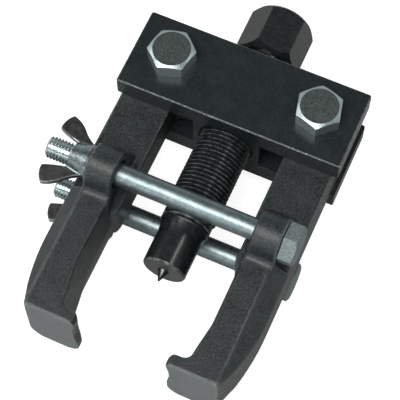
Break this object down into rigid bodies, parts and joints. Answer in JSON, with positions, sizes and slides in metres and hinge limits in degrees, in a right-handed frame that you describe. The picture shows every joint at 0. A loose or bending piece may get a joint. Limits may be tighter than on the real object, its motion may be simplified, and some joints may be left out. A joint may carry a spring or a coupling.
{
  "type": "ball joint separator",
  "caption": "Two-jaw screw press for ball joints: a slotted crosshead with a forcing screw, two swinging hooked jaws, and cross bolts with wing nuts that set the opening.",
  "frame": {"origin": "on the forcing screw's axis, where it leaves the crosshead on the side of the jaws", "axes": "+X along the crosshead towards the clamp bolts' hexagon heads, +Y along the forcing screw towards its hexagon, +Z through the depth towards the side with the pivot bolts' heads"},
  "size_m": [0.1182, 0.1787, 0.0654],
  "materials": {
    "machined_steel": "satin black oxide",
    "forged_steel": "matte black phosphate over a forged skin",
    "screw_steel": "glossy oiled black oxide",
    "point_steel": "hardened and ground, dark",
    "zinc_steel": "bright zinc plate"
  },
  "bodies": {
    "head": {"crosshead": "machined_steel", "left_pivot_bolt": "zinc_steel", "right_pivot_bolt": "zinc_steel", "left_lock_nut": "zinc_steel", "right_lock_nut": "zinc_steel"},
    "left_jaw": {"left_jaw": "forged_steel"},
    "right_jaw": {"right_jaw": "forged_steel"},
    "centre_point": {"centre_point": "point_steel"},
    "forcing_screw": {"forcing_screw": "screw_steel"},
    "front_clamp_bolt": {"front_clamp_bolt": "zinc_steel"},
    "rear_clamp_bolt": {"rear_clamp_bolt": "zinc_steel"},
    "front_wing_nut": {"front_wing_nut": "zinc_steel"},
    "rear_wing_nut": {"rear_wing_nut": "zinc_steel"}
  },
  "joints": [
    {"name": "right_jaw_swing", "type": "hinge", "parent": "head", "child": "right_jaw", "pos_m": [0.035, 0.02, 0], "axis": [0, 0, 1], "range_deg": [-6, 0]},
    {"name": "left_jaw_swing", "type": "hinge", "parent": "head", "child": "left_jaw", "pos_m": [-0.035, 0.02, 0], "axis": [0, 0, -1], "range_deg": [-6.01, 0.01]},
    {"name": "front_bolt_slide", "type": "slide", "parent": "head", "child": "front_clamp_bolt", "axis": [1, 0, 0], "range_m": [-0.0055, 0.0001]},
    {"name": "rear_bolt_slide", "type": "slide", "parent": "head", "child": "rear_clamp_bolt", "axis": [1, 0, 0], "range_m": [-0.0055, 0.0001]},
    {"name": "front_nut_spin", "type": "hinge", "parent": "front_clamp_bolt", "child": "front_wing_nut", "pos_m": [-0.048, -0.0414, 0.0204], "axis": [1, 0, 0], "continuous": true},
    {"name": "rear_nut_spin", "type": "hinge", "parent": "rear_clamp_bolt", "child": "rear_wing_nut", "pos_m": [-0.048, -0.0414, -0.0204], "axis": [1, 0, 0], "continuous": true},
    {"name": "screw_travel", "type": "slide", "parent": "head", "child": "centre_point", "axis": [0, -1, 0], "range_m": [-0.0401, 0.0061]},
    {"name": "screw_turn", "type": "hinge", "parent": "centre_point", "child": "forcing_screw", "pos_m": [0, 0, 0], "axis": [0, -1, 0], "range_deg": [-7200, 1080]}
  ],
  "couplings": [
    {"joint": "left_jaw_swing", "follows": "right_jaw_swing", "ratio": 1},
    {"joint": "front_bolt_slide", "follows": "right_jaw_swing", "m_per_rad": 0.0515},
    {"joint": "rear_bolt_slide", "follows": "right_jaw_swing", "m_per_rad": 0.0515},
    {"joint": "screw_travel", "follows": "screw_turn", "m_per_rad": 0.00031831}
  ]
}
